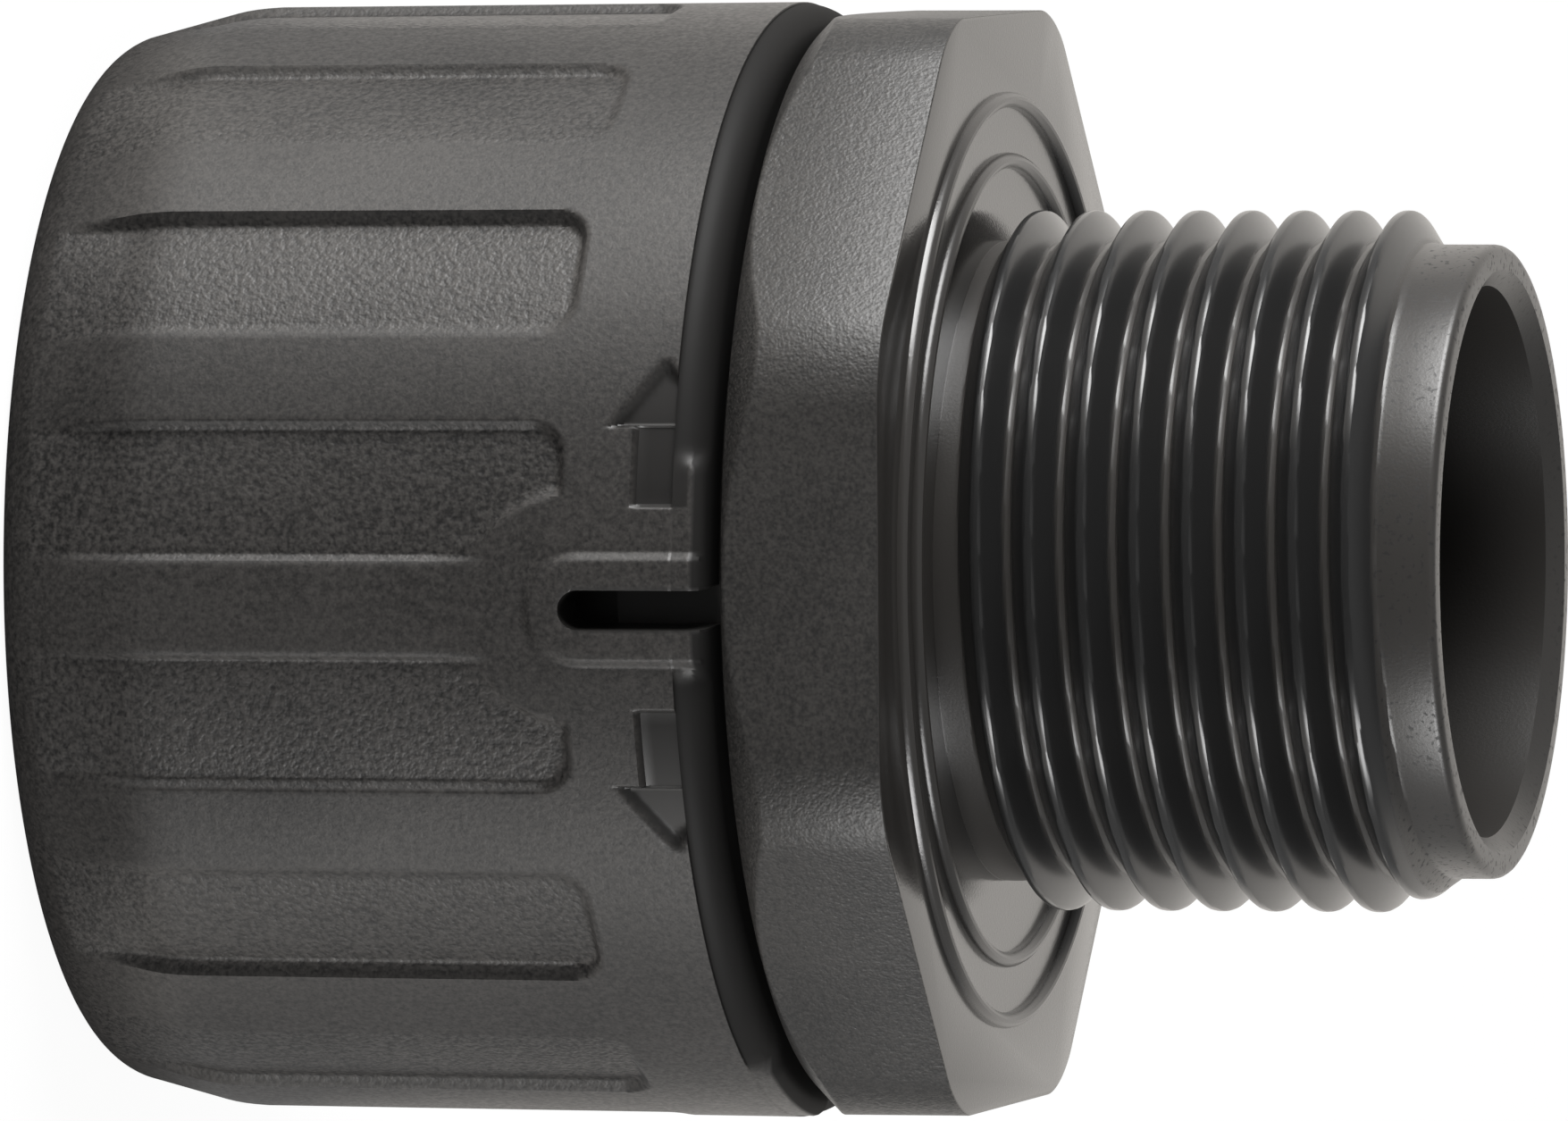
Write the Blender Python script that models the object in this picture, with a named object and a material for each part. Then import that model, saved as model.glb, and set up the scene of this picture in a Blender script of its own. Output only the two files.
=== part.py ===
"""Liquidtight conduit connector: a threaded nylon body with an eight-sided collar, and the domed lock housing
that snaps over its sleeve and holds the conduit.

The part stands on its entry face. +Z runs along its axis, from the conduit entry to the threaded nose, and
the collar's flats look along X and Y. Angles are in degrees about +Z, counted from -Y, where the slot side is.
"""
import math

import bmesh
import bpy
from mathutils import Vector

MM = 0.001

# Conduit and the way through the fitting
CONDUIT_DIAMETER = 21.2 * MM
ENTRY_CLEARANCE = 0.4 * MM
SOCKET_CLEARANCE = 0.25 * MM
BORE_DIAMETER = 15.4 * MM
SOCKET_FLOOR_DEPTH = 3.8 * MM

# Thread spigot, M20 x 1.5
THREAD_DIAMETER = 19.6 * MM
THREAD_PITCH = 1.5 * MM
THREAD_DEPTH = 0.85 * MM
THREAD_START = 0.5 * MM
THREAD_END = 0.3 * MM
THREAD_RUNOUT_TURNS = 0.3
THREAD_PHASE = 145.0
THREAD_STEPS_PER_TURN = 20
SPIGOT_LENGTH = 14.2 * MM
NOSE_STEP = 0.1 * MM
NOSE_LENGTH = 1.6 * MM
NOSE_CHAMFER = 0.25 * MM
BORE_CHAMFER = 0.45 * MM

# Collar
COLLAR_SIDES = 8
COLLAR_ACROSS_FLATS = 30.6 * MM
COLLAR_WIDTH = 4.5 * MM
COLLAR_CORNER_RADIUS = 4.0 * MM
COLLAR_CORNER_STEPS = 4
COLLAR_BACK_LAND = 0.1 * MM
BEAD_RADII = (11.2 * MM, 12.9 * MM)
BEAD_WIDTH = 0.45 * MM
BEAD_HEIGHT = 0.28 * MM

# Housing
HOUSING_DIAMETER = 31.3 * MM
HOUSING_DRAFT = 0.05 * MM
HOUSING_LENGTH = 20.5 * MM
HOUSING_WALL = 1.9 * MM
DOME_RADIUS = 3.0 * MM
ENTRY_LAND = 1.6 * MM
ENTRY_CHAMFER = 0.5 * MM
CONE_LENGTH = 4.4 * MM
CONE_MOUTH_STEP = 0.6 * MM
RIM_ROUND = 0.9 * MM
SEAM_STEP = 0.06 * MM
RIM_GAP = 0.4 * MM
RIM_PADS = ((-4.4, 22.4), (71.0, 22.4))
HOUSING_TURN = 2.7

# Grip panels
PANEL_COUNT = 15
PANEL_ANGLE = 13.8
PANEL_DEPTH = 0.24 * MM
PANEL_LEAN = 0.13 * MM
PANEL_LEAN_ANGLE = 36.0
PANEL_DRAFT_ANGLE = 1.0
PANEL_FADE_ANGLE = 42.0
PANEL_END = 4.1 * MM
PANEL_CORNER_ANGLE = 3.2

# Slot, its raised border and the arrows beside it
SLOT_WIDTH = 1.1 * MM
BORDER_WIDTH = 1.1 * MM
BORDER_HEIGHT = 0.18 * MM
BORDER_GUARD = 1.7 * MM
BORDER_SETBACK = 0.1 * MM
ARROW_START = 10.2
ARROW_NECK = 18.4
ARROW_TIP = 26.6
ARROW_SHAFT_WIDTH = 1.8 * MM
ARROW_HEAD_WIDTH = 3.6 * MM
ARROW_TIP_WIDTH = 0.1 * MM
ARROW_LAP = 0.3
ARROW_SETBACK = 1.15 * MM
ARROW_DEPTH = 0.2 * MM

# Turn lock between the housing and the sleeve
LOCK_COUNT = 4
LOCK_FIRST = 45.0
HOOK_ANGLE = 20.0
STOP_ANGLE = 21.0
STOP_SETBACK = 0.1 * MM
HOOK_HEIGHT = 1.3 * MM
LUG_HEIGHT = 1.2 * MM
LUG_DROP = 1.8 * MM
HOOK_GRIP = 0.45 * MM
TURN_CLEARANCE = 0.3 * MM

# Sleeve, seal and claw ring
SLEEVE_WALL = 0.7 * MM
SLEEVE_MOUTH = 9.9 * MM
SEAL_LENGTH = 3.9 * MM
SEAL_CLEARANCE = 0.1 * MM
SEAL_WALL = 0.6 * MM
SEAL_SQUEEZE = 0.15 * MM
SEAL_LIPS = 3
CLAW_CLEARANCE = 0.3 * MM
CLAW_BAND_HEIGHT = 1.7 * MM
CLAW_COUNT = 8
CLAW_SLIT = 1.4 * MM
CLAW_TIP_GAP = 0.5 * MM
CLAW_BITE = 0.55 * MM
CLAW_TOOTH_PITCH = 2.4 * MM

# Facets
HOUSING_SEGMENTS = 90
BODY_SEGMENTS = 60
RING_SEGMENTS = 32
ARC_STEPS = 5
SMOOTH_ANGLE = math.radians(32)
CUT_OVERRUN = 1.0 * MM
SINK = 0.5 * MM

# Worked out from the sizes above, from the housing's outside inwards
HOUSING_RADIUS = HOUSING_DIAMETER / 2
BASE_RADIUS = HOUSING_RADIUS - HOUSING_DRAFT
CAVITY_RADIUS = BASE_RADIUS - HOUSING_WALL
NECK_RADIUS = CAVITY_RADIUS - TURN_CLEARANCE
LUG_RADIUS = NECK_RADIUS - HOOK_GRIP
SLEEVE_RADIUS = LUG_RADIUS - TURN_CLEARANCE
SEAL_SEAT_RADIUS = SLEEVE_RADIUS - SLEEVE_WALL
ENTRY_RADIUS = CONDUIT_DIAMETER / 2 + ENTRY_CLEARANCE
SOCKET_RADIUS = CONDUIT_DIAMETER / 2 + SOCKET_CLEARANCE
COLLAR_INRADIUS = COLLAR_ACROSS_FLATS / 2
THREAD_ROOT_RADIUS = THREAD_DIAMETER / 2 - THREAD_DEPTH

# And from the entry face upwards
CONE_FOOT = ENTRY_LAND + ENTRY_CHAMFER
CONE_TOP = CONE_FOOT + CONE_LENGTH
PANEL_TOP = HOUSING_LENGTH - PANEL_END
SLOT_CENTRE = PANEL_TOP + SLOT_WIDTH / 2
SEAM_HEIGHT = HOUSING_LENGTH - RIM_ROUND
COLLAR_BACK = HOUSING_LENGTH + RIM_GAP
COLLAR_FACE = COLLAR_BACK + COLLAR_WIDTH
NOSE_HEIGHT = COLLAR_FACE + SPIGOT_LENGTH
SOCKET_FLOOR = COLLAR_FACE - SOCKET_FLOOR_DEPTH
LUG_TOP = HOUSING_LENGTH - LUG_DROP
LUG_FOOT = LUG_TOP - LUG_HEIGHT
HOOK_TOP = LUG_FOOT - TURN_CLEARANCE
HOOK_FOOT = HOOK_TOP - HOOK_HEIGHT
NECK_FOOT = LUG_TOP + TURN_CLEARANCE
SEAL_SEAT_TOP = SLEEVE_MOUTH + SEAL_LENGTH + 2 * SEAL_CLEARANCE
CLAW_TOP = SLEEVE_MOUTH - CLAW_CLEARANCE
CLAW_BAND_FOOT = CLAW_TOP - CLAW_BAND_HEIGHT


def clear_scene():
    """Remove whatever the scene holds."""
    for item in list(bpy.data.objects):
        bpy.data.objects.remove(item, do_unlink=True)


def plastic(name, colour, roughness):
    """A plain moulded material."""
    material = bpy.data.materials.new(name)
    material.use_nodes = True
    shader = material.node_tree.nodes["Principled BSDF"]
    shader.inputs["Base Color"].default_value = (*colour, 1.0)
    shader.inputs["Roughness"].default_value = roughness
    shader.inputs["Metallic"].default_value = 0.0
    return material


def direction(angle):
    """The unit vector in the XY plane at an angle in degrees from -Y."""
    turn = math.radians(angle - 90)
    return Vector((math.cos(turn), math.sin(turn), 0))


def arc(centre_r, centre_z, radius, start, end, steps=ARC_STEPS):
    """Points of an arc in a turned outline, between two angles in degrees above the radial direction."""
    points = []
    for step in range(steps + 1):
        angle = math.radians(start + (end - start) * step / steps)
        points.append((centre_r + radius * math.cos(angle), centre_z + radius * math.sin(angle)))
    return points


def keep_mesh(name, mesh_data, material=None):
    """Turn a bmesh into an object with its faces looking out."""
    bmesh.ops.remove_doubles(mesh_data, verts=mesh_data.verts, dist=MM / 1000)
    bmesh.ops.recalc_face_normals(mesh_data, faces=mesh_data.faces)
    mesh = bpy.data.meshes.new(name)
    mesh_data.to_mesh(mesh)
    mesh_data.free()
    item = bpy.data.objects.new(name, mesh)
    bpy.context.scene.collection.objects.link(item)
    if material:
        mesh.materials.append(material)
        mesh.shade_smooth()
        mesh.set_sharp_from_angle(angle=SMOOTH_ANGLE)
    return item


def turned(name, outline, segments, material=None):
    """Spin an outline of (radius, height) points round the axis.

    An outline that starts and ends on the axis makes a solid, and any other is closed into a ring.
    """
    data = bmesh.new()
    verts = [data.verts.new((0, -radius, height)) for radius, height in outline]
    edges = [data.edges.new(pair) for pair in zip(verts, verts[1:])]
    if outline[0][0] > 0:
        edges.append(data.edges.new((verts[-1], verts[0])))
    bmesh.ops.spin(data, geom=verts + edges, cent=(0, 0, 0), axis=(0, 0, 1), angle=math.tau,
                   steps=segments, use_merge=True)
    return keep_mesh(name, data, material)


def ring_sectors(name, inner, outer, foot, top, centres, width):
    """Blocks cut from one ring: each spans a width in degrees about its centre."""
    data = bmesh.new()
    steps = max(2, round(width / 5))
    for centre in centres:
        start = direction(centre - width / 2)
        corners = [start * inner, start * outer, start * outer, start * inner]
        heights = [foot, foot, top, top]
        verts = [data.verts.new((p.x, p.y, z)) for p, z in zip(corners, heights)]
        face = data.faces.new(verts)
        bmesh.ops.spin(data, geom=[face], cent=(0, 0, 0), axis=(0, 0, 1), angle=math.radians(width),
                       steps=steps)
    return keep_mesh(name, data)


def radial_prism(data, outline, angle, near, far, draft=0.0):
    """Add a prism that stands on the drum at an angle: its outline of (across, height) points runs outwards.

    With a draft the prism widens outwards, by that share of its depth on each side.
    """
    out = direction(angle)
    across = Vector((-out.y, out.x, 0))
    middle = sum((Vector(point) for point in outline), Vector((0, 0))) / len(outline)
    loops = []
    for distance in (near, far):
        spread = draft * (distance - (near + far) / 2)
        loop = []
        for u, z in outline:
            side = math.copysign(spread, u - middle.x) if abs(u - middle.x) > MM / 100 else 0.0
            lift = math.copysign(spread, z - middle.y)
            loop.append(data.verts.new(out * distance + across * (u + side) + Vector((0, 0, z + lift))))
        loops.append(loop)
    inner, outer = loops
    data.faces.new(inner)
    data.faces.new(reversed(outer))
    count = len(outline)
    for i in range(count):
        j = (i + 1) % count
        data.faces.new((inner[i], outer[i], outer[j], inner[j]))


def combine(target, tool, operation):
    """Add a Boolean with a tool that is hidden from the model."""
    cut = target.modifiers.new(tool.name, "BOOLEAN")
    cut.operation = operation
    cut.solver = "EXACT"
    cut.object = tool
    tool.hide_render = True
    tool.display_type = "WIRE"


def rounded_polygon(sides, inradius, corner_radius, steps):
    """A regular polygon with round corners, one side looking along -Y."""
    reach = (inradius - corner_radius) / math.cos(math.pi / sides)
    points = []
    for corner in range(sides):
        middle = 360 * (corner + 0.5) / sides
        for step in range(steps + 1):
            turn = middle + (step / steps - 0.5) * 360 / sides
            points.append(direction(middle) * reach + direction(turn) * corner_radius)
    return points


def lock_angles(offset):
    """Where the hooks or stops of the turn lock stand."""
    return [offset + 360 * i / LOCK_COUNT for i in range(LOCK_COUNT)]


def collar_blank():
    """The eight-sided collar, with its back corners turned off to a cone."""
    data = bmesh.new()
    outline = rounded_polygon(COLLAR_SIDES, COLLAR_INRADIUS, COLLAR_CORNER_RADIUS, COLLAR_CORNER_STEPS)
    back = [data.verts.new((p.x, p.y, COLLAR_BACK)) for p in outline]
    front = [data.verts.new((p.x, p.y, COLLAR_FACE)) for p in outline]
    data.faces.new(back)
    data.faces.new(front)
    for i in range(len(outline)):
        j = (i + 1) % len(outline)
        data.faces.new((back[i], back[j], front[j], front[i]))
    collar = keep_mesh("collar_blank", data)
    cone_foot = COLLAR_INRADIUS - COLLAR_BACK_LAND
    cone = turned("collar_cone", [(0, COLLAR_BACK - MM), (cone_foot - MM, COLLAR_BACK - MM),
                                  (cone_foot + COLLAR_WIDTH + MM, COLLAR_FACE + MM), (0, COLLAR_FACE + MM)],
                  BODY_SEGMENTS)
    combine(collar, cone, "INTERSECT")
    return collar


def thread_rib():
    """The helical rib of the thread, which rises from the collar and dies away at the nose."""
    root = THREAD_ROOT_RADIUS
    usable = SPIGOT_LENGTH - NOSE_LENGTH - THREAD_START - THREAD_END
    steps = int(THREAD_STEPS_PER_TURN * usable / THREAD_PITCH)
    runout = THREAD_RUNOUT_TURNS * THREAD_STEPS_PER_TURN
    section = [(-0.47, 0.0), (-0.27, 0.62), (-0.13, 1.0), (0.13, 1.0), (0.27, 0.62), (0.47, 0.0)]
    data = bmesh.new()
    loops = []
    for step in range(steps + 1):
        out = direction(360 * step / THREAD_STEPS_PER_TURN + THREAD_PHASE)
        height = COLLAR_FACE + THREAD_START + THREAD_PITCH * step / THREAD_STEPS_PER_TURN
        rise = min(1.0, (step + 1) / runout, (steps + 1 - step) / runout)
        loop = []
        for along, share in section:
            radius = root + THREAD_DEPTH * share * rise
            if share == 0:
                radius = root - SINK
            point = out * radius
            loop.append(data.verts.new((point.x, point.y, height + along * THREAD_PITCH)))
        loops.append(loop)
    count = len(section)
    for first, second in zip(loops, loops[1:]):
        for i in range(count):
            j = (i + 1) % count
            data.faces.new((first[i], first[j], second[j], second[i]))
    data.faces.new(loops[0])
    data.faces.new(reversed(loops[-1]))
    return keep_mesh("thread_rib", data)


def threaded_body(material):
    """Sleeve, collar and threaded spigot in one moulding, bored through."""
    root = THREAD_ROOT_RADIUS
    nose = root - NOSE_STEP
    nose_foot = NOSE_HEIGHT - NOSE_LENGTH
    body = turned("threaded_body", [
        (0, SLEEVE_MOUTH), (SLEEVE_RADIUS, SLEEVE_MOUTH),
        (SLEEVE_RADIUS, NECK_FOOT), (NECK_RADIUS, NECK_FOOT),
        (NECK_RADIUS, COLLAR_BACK + SINK), (root, COLLAR_BACK + SINK),
        (root, nose_foot), (nose, nose_foot + (root - nose)),
        (nose, NOSE_HEIGHT - NOSE_CHAMFER), (nose - NOSE_CHAMFER, NOSE_HEIGHT), (0, NOSE_HEIGHT),
    ], BODY_SEGMENTS, material)
    combine(body, collar_blank(), "UNION")
    for number, radius in enumerate(BEAD_RADII):
        half = BEAD_WIDTH / 2
        bead = turned(f"bead_{number}", [
            (radius - half, COLLAR_FACE - SINK), (radius + half, COLLAR_FACE - SINK),
            (radius + half / 2, COLLAR_FACE + BEAD_HEIGHT), (radius - half / 2, COLLAR_FACE + BEAD_HEIGHT)],
            BODY_SEGMENTS)
        combine(body, bead, "UNION")
    combine(body, thread_rib(), "UNION")
    hooks = ring_sectors("lock_hooks", SLEEVE_RADIUS - SLEEVE_WALL / 2, NECK_RADIUS, HOOK_FOOT, HOOK_TOP,
                         lock_angles(LOCK_FIRST + HOUSING_TURN), HOOK_ANGLE)
    combine(body, hooks, "UNION")
    stops = ring_sectors("lock_stops", SLEEVE_RADIUS - SLEEVE_WALL / 2, NECK_RADIUS - STOP_SETBACK, LUG_FOOT,
                         NECK_FOOT + SINK, lock_angles(HOUSING_TURN), STOP_ANGLE)
    combine(body, stops, "UNION")
    bore = BORE_DIAMETER / 2
    way = turned("body_way", [
        (0, SLEEVE_MOUTH - CUT_OVERRUN), (SEAL_SEAT_RADIUS, SLEEVE_MOUTH - CUT_OVERRUN),
        (SEAL_SEAT_RADIUS, SEAL_SEAT_TOP), (SOCKET_RADIUS, SEAL_SEAT_TOP), (SOCKET_RADIUS, SOCKET_FLOOR),
        (bore, SOCKET_FLOOR), (bore, NOSE_HEIGHT - BORE_CHAMFER),
        (bore + BORE_CHAMFER + CUT_OVERRUN, NOSE_HEIGHT + CUT_OVERRUN), (0, NOSE_HEIGHT + CUT_OVERRUN),
    ], BODY_SEGMENTS)
    combine(body, way, "DIFFERENCE")
    return body


def housing_shell(material):
    """The domed cap, turned: outer drum and dome, entry, clamping cone and cavity."""
    dome = arc(BASE_RADIUS - DOME_RADIUS, DOME_RADIUS, DOME_RADIUS, -90, 0)
    outline = [
        (ENTRY_RADIUS + ENTRY_CHAMFER, 0), *dome, (HOUSING_RADIUS, HOUSING_LENGTH),
        (CAVITY_RADIUS, HOUSING_LENGTH), (CAVITY_RADIUS, CONE_TOP),
        (ENTRY_RADIUS + CONE_MOUTH_STEP, CONE_FOOT), (ENTRY_RADIUS, CONE_FOOT),
        (ENTRY_RADIUS, ENTRY_CHAMFER),
    ]
    return turned("housing", outline, HOUSING_SEGMENTS, material)


def panel_lean(angle):
    """How much deeper a panel is at its edges: the moulds draw along Y, so it is deepest on its far side."""
    off = (angle + 90) % 180 - 90
    return PANEL_LEAN * max(-1.0, min(1.0, off / PANEL_LEAN_ANGLE))


def panel_rows():
    """Stations up a panel: (radius of the drum's outline centre, its height, dome angle, half width)."""
    half = PANEL_ANGLE / 2
    centre = BASE_RADIUS - DOME_RADIUS
    rows = [(centre, DOME_RADIUS, PANEL_FADE_ANGLE * step / 3, half) for step in (4, 3, 2, 1, 0)]
    corner = BASE_RADIUS * math.radians(PANEL_CORNER_ANGLE)
    for turn in (0, 30, 60, 90):
        height = PANEL_TOP - corner * (1 - math.sin(math.radians(turn)))
        width = half - PANEL_CORNER_ANGLE * (1 - math.cos(math.radians(turn)))
        rows.append((centre, height, 0.0, width))
    return rows


def panel_tool():
    """What the grip panels take away: pockets whose floors follow the drum and run out on the dome."""
    data = bmesh.new()
    for number in range(PANEL_COUNT):
        middle = 360 * (number + 0.5) / PANEL_COUNT
        lean = panel_lean(middle)
        loops = []
        for centre, height, dome, half in panel_rows():
            fade = 1 - (dome / PANEL_FADE_ANGLE) ** 2
            cosine = math.cos(math.radians(dome))
            sine = math.sin(math.radians(dome))
            loop = []
            for share in (-1, 0, 1):
                reach = DOME_RADIUS - (PANEL_DEPTH + lean * share) * fade
                out = direction(middle + half * share) * (centre + reach * cosine)
                loop.append(data.verts.new((out.x, out.y, height - reach * sine)))
            for share in (1, 0, -1):
                reach = DOME_RADIUS + CUT_OVERRUN
                out = direction(middle + (half + PANEL_DRAFT_ANGLE) * share) * (centre + reach * cosine)
                loop.append(data.verts.new((out.x, out.y, height - reach * sine)))
            loops.append(loop)
        for first, second in zip(loops, loops[1:]):
            for i in range(len(first)):
                j = (i + 1) % len(first)
                data.faces.new((first[i], first[j], second[j], second[i]))
        data.faces.new(loops[0])
        data.faces.new(reversed(loops[-1]))
    panels = keep_mesh("panel_tool", data)
    data = bmesh.new()
    radius = SLOT_WIDTH / 2 + BORDER_WIDTH + BORDER_GUARD
    guard = [(x, SLOT_CENTRE + z) for x, z in arc(0, 0, radius, 0, 345, 23)]
    radial_prism(data, guard, 0, BASE_RADIUS / 2, BASE_RADIUS + 2 * CUT_OVERRUN)
    combine(panels, keep_mesh("border_guard", data), "DIFFERENCE")
    return panels


def stadium(half_width, foot_centre, top):
    """A slot outline that is round at its foot and straight to its top."""
    return [*arc(0, foot_centre, half_width, 180, 360, 6), (half_width, top), (-half_width, top)]


def slot_border():
    """The raised border round the slot: a stadium that ends at the rim, its top curved with the drum."""
    data = bmesh.new()
    outline = stadium(SLOT_WIDTH / 2 + BORDER_WIDTH, SLOT_CENTRE, HOUSING_LENGTH - BORDER_SETBACK)
    radial_prism(data, outline, 0, BASE_RADIUS - HOUSING_WALL / 2, BASE_RADIUS + CUT_OVERRUN)
    border = keep_mesh("slot_border", data)
    drum = turned("border_drum", [
        (0, 0), (HOUSING_RADIUS + BORDER_HEIGHT, 0),
        (HOUSING_RADIUS + BORDER_HEIGHT, HOUSING_LENGTH + CUT_OVERRUN), (0, HOUSING_LENGTH + CUT_OVERRUN),
    ], HOUSING_SEGMENTS)
    combine(border, drum, "INTERSECT")
    return border


def rim_tool():
    """What rounds the rim, except at its two pads."""
    radius = HOUSING_RADIUS - SEAM_STEP
    beyond = HOUSING_RADIUS + CUT_OVERRUN
    tool = turned("rim_tool", [
        (beyond, SEAM_HEIGHT), *arc(radius - RIM_ROUND, SEAM_HEIGHT, RIM_ROUND, 0, 78),
        (radius - RIM_ROUND * 0.8, HOUSING_LENGTH + CUT_OVERRUN), (beyond, HOUSING_LENGTH + CUT_OVERRUN),
    ], HOUSING_SEGMENTS)
    for number, (centre, width) in enumerate(RIM_PADS):
        pad = ring_sectors(f"rim_pad_{number}", HOUSING_RADIUS - 2 * RIM_ROUND, beyond + CUT_OVERRUN,
                           SEAM_HEIGHT - CUT_OVERRUN, HOUSING_LENGTH + 2 * CUT_OVERRUN, [centre], width)
        combine(tool, pad, "DIFFERENCE")
    return tool


def arrow_tool(name, start, end, foot_width, end_width):
    """One stretch of the two arrow recesses beside the slot, cut to a flat floor."""
    middle = HOUSING_LENGTH - ARROW_SETBACK
    half = math.radians((end - start) / 2)
    reach = HOUSING_RADIUS * math.sin(half)
    floor = HOUSING_RADIUS * math.cos(half) - ARROW_DEPTH
    data = bmesh.new()
    for side in (-1, 1):
        outline = [(-side * reach, middle - foot_width / 2), (side * reach, middle - end_width / 2),
                   (side * reach, middle + end_width / 2), (-side * reach, middle + foot_width / 2)]
        radial_prism(data, outline, side * (start + end) / 2, floor, HOUSING_RADIUS + CUT_OVERRUN)
    return keep_mesh(name, data)


def housing(material):
    """The lock housing, with everything that is moulded into it."""
    shell = housing_shell(material)
    combine(shell, panel_tool(), "DIFFERENCE")
    combine(shell, rim_tool(), "DIFFERENCE")
    combine(shell, slot_border(), "UNION")
    data = bmesh.new()
    outline = stadium(SLOT_WIDTH / 2, SLOT_CENTRE, HOUSING_LENGTH + CUT_OVERRUN)
    radial_prism(data, outline, 0, CAVITY_RADIUS - 2 * CUT_OVERRUN, HOUSING_RADIUS + CUT_OVERRUN)
    combine(shell, keep_mesh("slot_tool", data), "DIFFERENCE")
    shaft_end = ARROW_NECK + ARROW_LAP
    shafts = arrow_tool("arrow_shafts", ARROW_START, shaft_end, ARROW_SHAFT_WIDTH, ARROW_SHAFT_WIDTH)
    combine(shell, shafts, "DIFFERENCE")
    heads = arrow_tool("arrow_heads", ARROW_NECK, ARROW_TIP, ARROW_HEAD_WIDTH, ARROW_TIP_WIDTH)
    combine(shell, heads, "DIFFERENCE")
    lugs = ring_sectors("lock_lugs", LUG_RADIUS, CAVITY_RADIUS + HOUSING_WALL / 2, LUG_FOOT, LUG_TOP,
                        lock_angles(LOCK_FIRST), HOOK_ANGLE)
    combine(shell, lugs, "UNION")
    return shell


def claw_ring(material):
    """A ring of spring fingers that lie in the housing's cone and bite between the conduit's ribs."""
    cone_mouth = ENTRY_RADIUS + CONE_MOUTH_STEP
    slope = (CAVITY_RADIUS - cone_mouth) / CONE_LENGTH
    tip = CONE_FOOT + CLAW_TIP_GAP
    inner = SOCKET_RADIUS
    bite = CONDUIT_DIAMETER / 2 - CLAW_BITE
    outer = CAVITY_RADIUS - CLAW_CLEARANCE
    shoulder = CONE_TOP
    tip_radius = cone_mouth + slope * CLAW_TIP_GAP - CLAW_CLEARANCE
    outline = [(tip_radius, tip), (outer, shoulder), (outer, CLAW_TOP),
               (inner, CLAW_TOP)]
    for tooth in (1, 0):
        foot = tip + tooth * CLAW_TOOTH_PITCH
        outline += [(inner, foot + CLAW_TOOTH_PITCH * 0.8), (bite, foot + CLAW_TOOTH_PITCH * 0.3),
                    (bite, foot + CLAW_TOOTH_PITCH * 0.15)]
        if tooth:
            outline.append((inner, foot))
    outline.append((bite + CLAW_TOOTH_PITCH * 0.15, tip))
    ring = turned("claw_ring", outline, RING_SEGMENTS, material)
    data = bmesh.new()
    half = CLAW_SLIT / 2
    slit = [(-half, CONE_FOOT - CUT_OVERRUN), (half, CONE_FOOT - CUT_OVERRUN), (half, CLAW_BAND_FOOT),
            (-half, CLAW_BAND_FOOT)]
    for number in range(CLAW_COUNT):
        radial_prism(data, slit, 360 * number / CLAW_COUNT, bite - CUT_OVERRUN, outer + CUT_OVERRUN)
    combine(ring, keep_mesh("claw_slits", data), "DIFFERENCE")
    return ring


def conduit_seal(material):
    """The rubber ring in the sleeve's mouth, with lips that press on the conduit."""
    foot = SLEEVE_MOUTH + SEAL_CLEARANCE
    top = foot + SEAL_LENGTH
    outer = SEAL_SEAT_RADIUS - SEAL_CLEARANCE
    inner = outer - SEAL_WALL
    lip = CONDUIT_DIAMETER / 2 - SEAL_SQUEEZE
    outline = [(outer, foot), (outer, top), (inner, top)]
    pitch = SEAL_LENGTH / SEAL_LIPS
    for number in reversed(range(SEAL_LIPS)):
        start = foot + number * pitch
        outline += [(inner, start + pitch * 0.85), (lip, start + pitch * 0.6), (lip, start + pitch * 0.45),
                    (inner, start + pitch * 0.1)]
    outline.append((inner, foot))
    return turned("conduit_seal", outline, RING_SEGMENTS, material)


def build():
    """Make the pieces, and turn the housing and its ring to where the photograph shows them."""
    clear_scene()
    nylon = plastic("black_nylon", (0.035, 0.034, 0.033), 0.5)
    acetal = plastic("dark_acetal", (0.05, 0.05, 0.052), 0.4)
    rubber = plastic("seal_rubber", (0.02, 0.02, 0.02), 0.75)
    threaded_body(nylon)
    conduit_seal(rubber)
    axis = bpy.data.objects.new("housing_axis", None)
    bpy.context.scene.collection.objects.link(axis)
    shell = housing(nylon)
    ring = claw_ring(acetal)
    for item in [shell, ring]:
        item.parent = axis
        for cut in item.modifiers:
            cut.object.parent = axis
            for inner_cut in cut.object.modifiers:
                inner_cut.object.parent = axis
    axis.rotation_euler = (0, 0, math.radians(HOUSING_TURN))


build()
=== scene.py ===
"""Looks of the liquidtight conduit connector: the domed lock cap, the wrench collar with its threaded spigot,
and the claw ring and seal inside, in spark-textured and polished black nylon.

The part stands on its entry face. Angles are in degrees about +Z, counted from -Y, and lengths are in metres.
"""
import math

import bpy
import numpy as np
from mathutils import Matrix, Vector


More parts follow.
